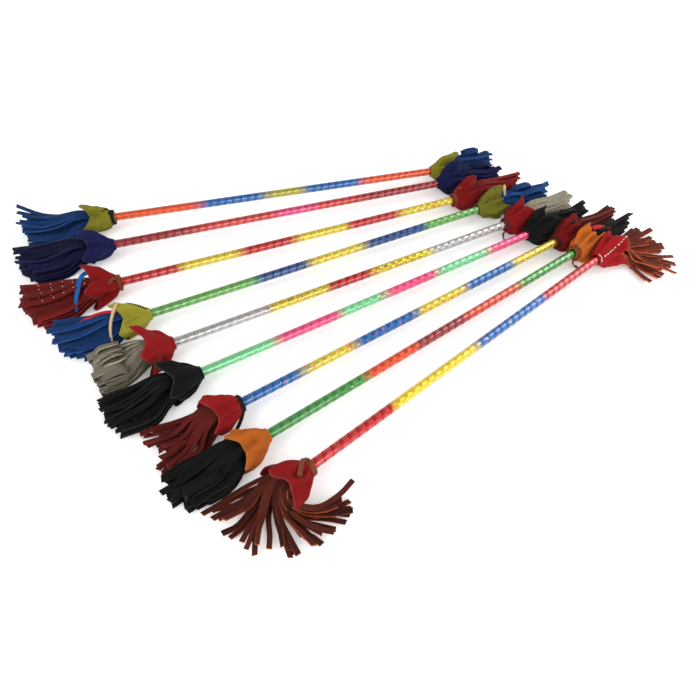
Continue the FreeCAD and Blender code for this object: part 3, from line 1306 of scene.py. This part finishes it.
    def build(self, threads: dict[str, StitchMesh], laces: Sequence[Lace]) -> Object:
        """Makes the tassel's mesh.

        Args:
            threads: The stitches of each thread.
            laces: The laces that go with it.

        Returns:
            The tassel.
        """
        work = StripMesh(self.end)
        laid = [self.strip(lane) for lane in self.lanes()]
        for strip in laid:
            work.add(strip)
        thread, rows = self.style.stitched
        for strip in laid[len(laid) - rows:]:
            work.sew(strip, threads[thread])
        for index, lace in enumerate(laces):
            work.add(lace.strip(index + 1))
        return work.finish(f"{self.end.name}_fringe")


# ---------------------------------------------------------------- the sticks


DYES: dict[str, Colour] = {
    "lime": srgb(120, 116, 36),
    "navy": srgb(20, 23, 66),
    "red": srgb(120, 16, 18),
    "black": srgb(13, 13, 14),
    "orange": srgb(166, 86, 26),
}

FRINGES: dict[str, tuple[Colour, Colour]] = {
    "fringe_blue": (srgb(14, 40, 80), srgb(22, 70, 128)),
    "fringe_navy": (srgb(13, 17, 44), srgb(24, 26, 78)),
    "fringe_dark_red": (srgb(94, 16, 16), srgb(122, 36, 32)),
    "fringe_grey": (srgb(110, 104, 90), srgb(158, 148, 126)),
    "fringe_black": (srgb(12, 12, 12), srgb(32, 30, 28)),
    "fringe_maroon": (srgb(78, 22, 20), srgb(112, 42, 36)),
    "fringe_rust": (srgb(66, 26, 18), srgb(150, 68, 38)),
}

LACES: dict[str, Colour] = {
    "lace_dark": srgb(34, 28, 26),
    "lace_brown": srgb(112, 62, 40),
    "lace_beige": srgb(188, 164, 124),
    "lace_blue": srgb(24, 84, 150),
    "lace_red": srgb(168, 36, 34),
    "lace_maroon": srgb(96, 30, 34),
}

THREADS: dict[str, Colour] = {
    "white": srgb(226, 222, 212),
    "black": srgb(20, 18, 18),
}

FILM: dict[str, Colour] = {
    "orange": srgb(214, 72, 20),
    "blue": srgb(16, 92, 160),
    "deep_blue": srgb(14, 62, 120),
    "olive": srgb(168, 160, 40),
    "wine": srgb(142, 14, 24),
    "coral": srgb(196, 52, 44),
    "pink": srgb(214, 60, 116),
    "scarlet": srgb(182, 16, 14),
    "yellow": srgb(216, 190, 50),
    "green": srgb(98, 160, 76),
    "silver": srgb(178, 174, 174),
    "mint": srgb(120, 200, 140),
    "rose": srgb(222, 66, 118),
    "leaf": srgb(58, 136, 60),
    "flame": srgb(210, 66, 22),
    "brick": srgb(140, 38, 40),
    "sun": srgb(226, 196, 36),
}


FILMS: dict[int, BandedFilm] = {
    1: BandedFilm("film_orange_blue", (
        (0, 0.224, "orange"), (0.282, 0.428, "blue"), (0.478, 0.558, "olive"), (0.599, 0.744, "blue"),
        (0.786, 1, "orange")), lap_dark=0.15, flecks=0.0),
    2: BandedFilm("film_wine", (
        (0, 0.182, "wine"), (0.277, 0.452, "coral"), (0.492, 0.573, "pink"), (0.62, 0.676, "coral"),
        (0.781, 1, "wine")), lap_dark=0.5),
    3: BandedFilm("film_red_yellow", (
        (0, 0.142, "scarlet"), (0.179, 0.3, "yellow"), (0.348, 0.465, "scarlet"), (0.515, 0.638, "yellow"),
        (0.67, 0.798, "scarlet"), (0.842, 1, "yellow")), lap_dark=0.5, mark=Mark.SPOTS,
        mark_colour=srgb(226, 116, 44), mark_zone=(0.8, 1.0)),
    4: BandedFilm("film_green_blue", (
        (0, 0.266, "green"), (0.304, 0.419, "deep_blue"), (0.459, 0.58, "yellow"), (0.632, 0.794, "deep_blue"),
        (0.828, 1, "green")), lap_dark=0.4),
    5: BandedFilm("film_silver", (
        (0, 0.234, "silver"), (0.261, 0.403, "yellow"), (0.432, 0.532, "scarlet"), (0.574, 0.723, "yellow"),
        (0.756, 1, "silver")), metal=0.8, lap_dark=0.25, mark=Mark.SQUIGGLES, mark_zone=(0.24, 0.72)),
    6: BandedFilm("film_mint_rose", (
        (0, 0.168, "mint"), (0.212, 0.35, "rose"), (0.388, 0.486, "mint"), (0.527, 0.653, "rose"),
        (0.697, 0.832, "mint"), (0.879, 1, "rose")), lap_dark=0.08, flecks=0.0),
    7: BandedFilm("film_blue_yellow", (
        (0, 0.139, "blue"), (0.182, 0.289, "yellow"), (0.326, 0.48, "blue"), (0.521, 0.637, "yellow"),
        (0.68, 0.817, "blue"), (0.852, 1, "yellow")), lap_dark=0.3, mark=Mark.SPOTS,
        mark_colour=srgb(206, 96, 110)),
    8: BandedFilm("film_leaf_flame", (
        (0, 0.247, "leaf"), (0.282, 0.404, "flame"), (0.433, 0.565, "brick"), (0.597, 0.753, "flame"),
        (0.8, 1, "leaf")), lap_dark=0.2, mark=Mark.SQUIGGLES, mark_colour=srgb(150, 220, 120),
        mark_zone=(0.82, 1.0)),
    9: BandedFilm("film_red_sun", (
        (0, 0.215, "scarlet"), (0.241, 0.485, "sun"), (0.526, 0.748, "blue"), (0.783, 1, "scarlet")),
        lap_dark=0.15, flecks=0.0, mark=Mark.SPOTS, mark_colour=srgb(226, 150, 90), mark_zone=(0.5, 0.8)),
}


@dataclass(frozen=True)
class EndLook:
    """The cap, the tassel and the laces of one end."""

    cap: CapStyle
    tassel: TasselStyle
    laces: tuple[Lace, ...] = ()


LEFT, RIGHT = Side.LEFT, Side.RIGHT

# Each end's brightness factors lighten or darken its cap and fringe: partly the suede's own dye, partly painted
# light and shade.
LOOKS: dict[tuple[int, Side], EndLook] = {
    (1, LEFT): EndLook(
        CapStyle(turn=42, lobe=0.3, folds=7, fold=3.5, tone=-0.12),
        TasselStyle((88, 84, 66), count=34, far_curl=15, lift=10, pile=22, rim_spread=16, tone=0.1),
        (Lace(((7, 2, 12.5), (11, -1, 14.5), (15, -4, 15)), turns=3.2, start=60, width=3.6),)),
    (2, LEFT): EndLook(
        CapStyle(turn=38, folds=8, fold=3.1),
        TasselStyle((86, 82, 60), count=44, lift=9, pile=22, rim_spread=16, wave=3)),
    (3, LEFT): EndLook(
        CapStyle(turn=12, lobe=0.28, folds=7, fold=3.0, tone=-0.05),
        TasselStyle((79, 78, 58), count=38, width=7.8, wave=1.2, twist=8, lift=3, pile=20, rim_spread=16,
                    stitched=("white", 6)),
        (Lace(((28, 10, 16), (37, 9, 18), (44, 2, 16), (49, -10, 11.5), (54, -20, 5), (58, -27, -5)), width=5.5,
              dye="lace_blue"),
         Lace(((6, -6, 12), (10, -10, 14), (14, -13, 12)), turns=1.6, start=30, dye="lace_brown"))),
    (4, LEFT): EndLook(
        CapStyle(turn=30, folds=8, fold=3.7, tone=0.4, stitches=(
            StitchRow((86, 0.12), (62, 0.8), 13, 4.8, 2.4, True, "black"),)),
        TasselStyle((68, 72, 46), count=34, width=7.8, wave=2, twist=14, pile=20, rim_spread=16, tone=0.3),
        (Lace(((34, -2, 20), (46, 6, 17), (60, 12, 12), (76, 14, 6)), width=3, dye="lace_red"),
         Lace(((31, 6, 25), (37, -4, 24), (46, -14, 12), (50, -24, 0)), width=3.2, dye="lace_beige"))),
    (5, LEFT): EndLook(
        CapStyle(turn=4, lobe=0.12, folds=6, fold=3.2, flare=26, steep=26, tone=0.15),
        TasselStyle((62, 66, 54), count=30, width=8.0, loops=1.0, twist=40, pile=16, rim_spread=16)),
    (6, LEFT): EndLook(
        CapStyle(turn=20, lobe=0.14, folds=8, fold=3.2),
        TasselStyle((68, 68, 60), count=38, width=5.2, wave=4.2, twist=60, rim_spread=16, pile=20)),
    (7, LEFT): EndLook(
        CapStyle(turn=30, folds=8, fold=3.6, tone=0.2),
        TasselStyle((64, 60, 54), count=32, width=4.8, wave=3.6, fan=(-50, 26), rim_spread=16, pile=14),
        (Lace(((4, -9.5, 2), (10, -16, -1), (18, -21, -6), (26, -23, -14)), turns=1.2, start=70, width=3.6),)),
    (8, LEFT): EndLook(
        CapStyle(turn=26, lobe=0.16, folds=7, fold=3.7, lean=-1.5),
        TasselStyle((66, 72, 54), count=32, width=7.4, loops=0.6, pile=18, rim_spread=16)),
    (9, LEFT): EndLook(
        CapStyle(turn=36, lobe=0.2, folds=7, fold=3.7),
        TasselStyle((74, 52, 58), count=36, width=5.0, fan=(-158, 34), wave=4.6, lift=5, pile=11,
                    tone_spread=0.5),
        (Lace(((5, 3, 11.5), (10, 1, 14.5), (15, -4, 16.5), (20, -9, 16)), turns=1.5, start=60, width=4.4,
              dye="lace_brown"),)),
    (1, RIGHT): EndLook(
        CapStyle(turn=44, lobe=0.34, folds=7, fold=4.2, steep=14, flare=20),
        TasselStyle((66, 66, 54), count=30, loops=0.3, tone=0.3, pile=22)),
    (2, RIGHT): EndLook(
        CapStyle(turn=20, lobe=0.14, folds=8, fold=4.0, tone=-0.2),
        TasselStyle((62, 62, 50), width=8.0, count=26, loops=0.5, tone=0.4, pile=24)),
    (3, RIGHT): EndLook(
        CapStyle(turn=25, lobe=0.14, folds=8, fold=4.1, tone=-0.1),
        TasselStyle((79, 70, 56), width=7.6, count=24, tone=0.4, pile=22),
        (Lace(((8, 4, 14), (14, 0, 17), (20, -4, 17)), turns=1.2, start=80, dye="lace_brown"),)),
    (4, RIGHT): EndLook(
        CapStyle(turn=38, folds=8, fold=4.3, tone=-0.3, stitches=(
            StitchRow((116, 0.3), (100, 0.42), 3, 2.2, 2.2, False, "black"),
            StitchRow((98, 0.72), (84, 0.66), 2, 2.2, 2.2, False, "black"))),
        TasselStyle((80, 78, 66), width=8.2, count=26, loops=0.4, tone=0.6, pile=24),
        (Lace(((35, -10, 18), (38, -3, 24), (44, 4, 23), (50, 8, 14)), width=4, dye="lace_beige"),)),
    (5, RIGHT): EndLook(
        CapStyle(turn=10, lobe=0.1, folds=8, fold=4.6, flare=24),
        TasselStyle((84, 78, 66), width=8.2, count=26, twist=10, tone=0.7, pile=24, stitched=("black", 3)),
        (Lace(((-2, -5, -10), (-3, -9, -15), (-4, -13, -16.2)), turns=1.4, start=70, dye="lace_maroon"),)),
    (6, RIGHT): EndLook(
        CapStyle(turn=2, lobe=0.1, folds=8, fold=4.8),
        TasselStyle((74, 68, 60), width=7, loops=0.4, pile=22)),
    (7, RIGHT): EndLook(
        CapStyle(turn=30, lobe=0.14, folds=9, fold=5.2, tone=-0.3),
        TasselStyle((74, 76, 66), width=6.4, pile=22),
        (Lace(((12, 7, 16), (22, 3, 20), (32, -2, 21)), turns=0.8, start=70),)),
    (8, RIGHT): EndLook(
        CapStyle(turn=8, lobe=0.08, folds=9, fold=5.4, tone=0.15, stitches=(
            StitchRow((165, 0.12), (70, 0.14), 10, 3.8, 1.2, True, "black"),)),
        TasselStyle((78, 76, 66), width=6.6, loops=0.4, pile=22),
        (Lace(((36, 4, 21), (48, 4, 18), (62, 3, 12), (76, 2, 6)), width=6, dye="lace_red"),
         Lace(((-1, -5, -9), (0, -9, -14), (4, -12, -16)), turns=1.4, start=60, width=4, dye="lace_brown"))),
    (9, RIGHT): EndLook(
        CapStyle(turn=70, lobe=0.12, folds=8, fold=4.6, square=80, tone=0.5, stitches=(
            StitchRow((132, 0.2), (112, 0.95), 9, 4.0, 1.4, False, "white"),
            StitchRow((165, 0.08), (100, 0.08), 5, 2.6, 1.2, False, "white"))),
        TasselStyle((82, 74, 48), count=30, width=6.2, fan=(-96, 6), wave=3.4, tone=1.0, pile=12)),
}


@dataclass
class FlowerStick:
    """One stick: the finishes of its own pieces, and the soft parts of its ends."""

    number: int
    cap_slot: str
    fringe_slot: str

    @property
    def body(self) -> str:
        """Gives the frame's body that the stick is."""
        return f"stick_{self.number}"

    def dress_frame(self, nodes: dict[str, Object], film: Material,
                    plain: dict[str, Material]) -> None:
        """Puts finishes on the pieces that come from the frame.

        Args:
            nodes: The frame's nodes.
            film: The sleeve's material.
            plain: The materials of the rod, the ties and the plugs.
        """
        for part, material in {"sleeve": film, **plain}.items():
            data = nodes[f"{self.body}_{part}"].data
            data.materials.clear()
            data.materials.append(material)

    def add_end(self, end: StickEnd, suedes: dict[str, Material], threads: dict[str, Material]) -> None:
        """Makes one end's cap, fringe and stitches, and logs what was made.

        Args:
            end: The end.
            suedes: The suedes of the caps, the fringes and the laces, by slot.
            threads: The threads' materials.
        """
        look = LOOKS[self.number, end.side]
        sewn = {name: StitchMesh() for name in threads}
        tassel, bell = Tassel(end, look.tassel), Cap(end, look.cap)
        fringe = tassel.build(sewn, look.laces)
        for slot in (self.fringe_slot, *(lace.dye for lace in look.laces)):
            fringe.data.materials.append(suedes[slot])
        cap = bell.build()
        cap.data.materials.append(suedes[self.cap_slot])
        bell.sew(sewn)
        for piece, part, slot in ((fringe, "fringes", self.fringe_slot), (cap, "caps", self.cap_slot)):
            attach(piece, self.body)
            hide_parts(f"{self.body}_{part}")
        stitches = []
        for name, work in sewn.items():
            if work.count:
                stitches.append(work.finish(f"{end.name}_{name}_stitches"))
                stitches[-1].data.materials.append(threads[name])
                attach(stitches[-1], self.body)
        style, square = look.tassel, look.cap.square * MM
        fringe.name
        LOG.info("%s: cap, fringe of %d strips, %d laces, %d stitched threads", end.name, style.count,
                 len(look.laces), len(stitches))


@dataclass
class FlowerStickSet:
    """All nine sticks."""

    frame: dict
    recipes: Recipes = field(default_factory=Recipes)

    def slot_of(self, node: str) -> str:
        """Finds the record's material slot for a node."""
        parts = self.frame["record"]["subparts"]
        return next(part["material_slot"] for part in parts if part["node"] == node)

    def cap_span(self, line: StickLine) -> tuple[float, float]:
        """Measures a stick's caps.

        Args:
            line: The stick's line.

        Returns:
            How far their mouths and their rims are from the stick's middle, in millimetres.
        """
        vertices = self.frame["nodes"][f"stick_{line.number}_caps"].data.vertices
        reaches = [abs((vertex.co - line.middle).dot(line.heading)) / MM for vertex in vertices]
        return min(reaches), max(reaches)

    def build(self) -> None:
        """Builds every stick."""
        nodes = self.frame["nodes"]
        lines = {number: StickLine.read(nodes, number) for number in STICKS}
        plain = {
            "rod": PlainFinish("core_rod", srgb(190, 186, 176), 0.45, 180, 0.0002).material(),
            "ties": PlainFinish("waxed_thread", srgb(44, 38, 34), 0.55, 2400, 0.0003).material(),
            "plugs": PlainFinish("plug_rubber", srgb(30, 30, 31), 0.7, 900, 0.0002).material(),
        }
        suedes = {slot: Suede(slot, dye, dye, brushing=0.2, fibre=0.2).material(self.recipes)
                  for slot, dye in LACES.items()}
        threads = {name: PlainFinish(f"{name}_thread", dye, 0.6, 1800, 0.0001).material()
                   for name, dye in THREADS.items()}
        for number, line in lines.items():
            mouth, rim = self.cap_span(line)
            slots = [self.slot_of(f"stick_{number}_{part}") for part in ("caps", "fringes")]
            for slot in slots:
                if slot not in suedes:
                    suedes[slot] = self.suede(slot).material(self.recipes)
            stick = FlowerStick(number, *slots)
            stick.dress_frame(nodes, FILMS[number].material(self.recipes, line, 2 * mouth * MM), plain)
            for side in Side:
                end = StickEnd(line, side, mouth, rim, lines.get(number - 1), lines.get(number + 1))
                stick.add_end(end, suedes, threads)
            LOG.info("%s is built", stick.body)

    @staticmethod
    def suede(slot: str) -> Suede:
        """Gives the suede of a slot."""
        if slot in FRINGES:
            dye, cut = FRINGES[slot]
            return Suede(slot, dye, cut)
        dye = DYES[slot.removeprefix("cap_")]
        return Suede(slot, dye, tuple(mix(value, 0.3, 0.09) for value in dye), brushing=0.28, fibre=0.2)


# ---------------------------------------------------------------- studio


LAMPS: tuple[tuple[str, tuple[float, float, float], float, float], ...] = (
    ("left", (-1.7, -0.4, 1.3), 1.5, 20),
    ("right", (1.7, -0.2, 1.3), 1.5, 20),
    ("front", (0.1, -1.7, 0.9), 1.4, 12),
)
AIM_FROM_MIDDLE = (-52.9, -86.7)


@dataclass(frozen=True)
class Studio:
    """A pale floor, soft lights and the camera."""

    aim: Vector
    distance: float = 0.658
    azimuth: float = -27.78
    elevation: float = 49.1
    lens: float = 30
    floor_size: float = 60.0
    side_light: float = 1.15
    top_light: float = 0.5

    def floor(self) -> None:
        """Lays the floor."""
        shape = bmesh.new()
        bmesh.ops.create_grid(shape, x_segments=4, y_segments=4, size=self.floor_size / 2)
        floor = to_object(shape, "floor")
        material, sketch, shader = new_material("floor_paper")
        place = sketch.place()
        away = sketch.node("VectorMath", {0: place}, operation="LENGTH").outputs["Value"]
        sketch.wire(shader, {
            "Base Color": (0.95, 0.95, 0.95, 1), "Emission Color": (1, 1, 1, 1), "Specular IOR Level": 0.1,
            "Roughness": sketch.spread(sketch.noise(place, 300, 3), 0.85, 0.95),
            "Emission Strength": sketch.ramp(away, 1.1, 2.6, 0.22, 0.45)})
        floor.data.materials.append(material)

    def light(self, name: str, place: Vector, size: float, power: float) -> None:
        """Hangs a square lamp that points at the sticks.

        Args:
            name: Its name.
            place: Where it hangs.
            size: Its width.
            power: Its power in watts.
        """
        lamp = bpy.data.lights.new(name, "AREA")
        lamp.shape, lamp.size, lamp.energy = "SQUARE", size, power
        made = add_object(name, lamp)
        made.location = place
        made.rotation_euler = (-place).to_track_quat("-Z", "Y").to_euler()

    def camera(self) -> None:
        """Sets up the camera."""
        turn, rise = math.radians(self.azimuth), math.radians(self.elevation)
        back = Vector((math.sin(turn) * math.cos(rise), -math.cos(turn) * math.cos(rise), math.sin(rise)))
        data = bpy.data.cameras.new("camera")
        data.lens, data.sensor_width = self.lens, 36
        data.clip_start, data.clip_end = 0.01, 50
        made = add_object("camera", data)
        made.location = self.aim + back * self.distance
        made.rotation_mode = "QUATERNION"
        made.rotation_quaternion = (-back).to_track_quat("-Z", "Y")
        bpy.context.scene.camera = made

    def build(self) -> None:
        """Builds the studio."""
        self.floor()
        world = bpy.data.worlds.new("soft_room")
        world.use_nodes = True
        background = world.node_tree.nodes["Background"]
        sketch = Sketch(world.node_tree)
        rise = sketch.node("SeparateXYZ", {0: sketch.node("TexCoord").outputs["Generated"]}).outputs[2]
        sketch.wire(background, {
            "Color": (1, 1, 1, 1), "Strength": sketch.ramp(rise, 0.2, 0.75, self.side_light, self.top_light)})
        bpy.context.scene.world = world
        for name, place, size, power in LAMPS:
            self.light(name, Vector(place), size, power)
        bpy.context.scene.view_settings.view_transform = "Standard"
        bpy.context.scene.view_settings.look = "None"
        self.camera()


def main() -> None:
    """Builds the set and the studio round it."""
    logging.basicConfig(level=logging.INFO, format="%(name)s: %(message)s")
    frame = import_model()
    FlowerStickSet(frame).build()
    middle = StickLine.read(frame["nodes"], 5).middle
    Studio(Vector((middle.x + AIM_FROM_MIDDLE[0] * MM, middle.y + AIM_FROM_MIDDLE[1] * MM, 0))).build()


if __name__ == "__main__":
    main()
